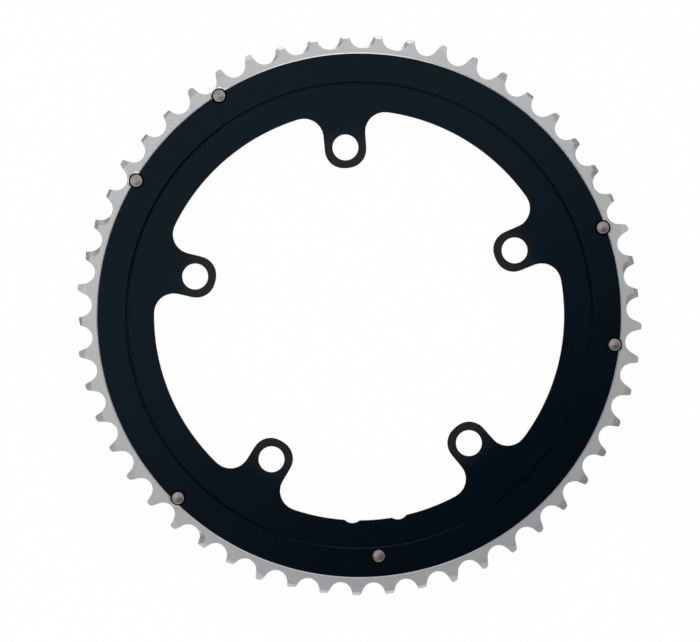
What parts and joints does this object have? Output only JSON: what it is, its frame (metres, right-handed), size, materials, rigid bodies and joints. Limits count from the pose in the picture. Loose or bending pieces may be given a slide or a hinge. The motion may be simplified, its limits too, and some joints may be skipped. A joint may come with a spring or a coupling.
{
  "type": "bicycle chainring",
  "caption": "Outer bicycle chainring: a flat toothed ring with inward tabs that carry the bolt holes, shift pins and ramps on its rear face, and a chain catch pin on its outboard face.",
  "frame": {"origin": "on the ring's axis, in the middle plane of the teeth", "axes": "+Z along the axis towards the bicycle's frame, the side of the shift pins; +Y through one bolt hole; +X through the middle of one tooth; -Y along the crank arm, where the catch pin stands"},
  "size_m": [0.2174, 0.216, 0.0102],
  "materials": {
    "ring_alloy": "black anodised, with the teeth machined bare",
    "pin_steel": "turned"
  },
  "bodies": {
    "root": {"chainring": "ring_alloy", "shift_pin_1": "pin_steel", "shift_pin_2": "pin_steel", "shift_pin_3": "pin_steel", "shift_pin_4": "pin_steel", "shift_pin_5": "pin_steel", "catch_pin": "pin_steel"}
  },
  "joints": []
}
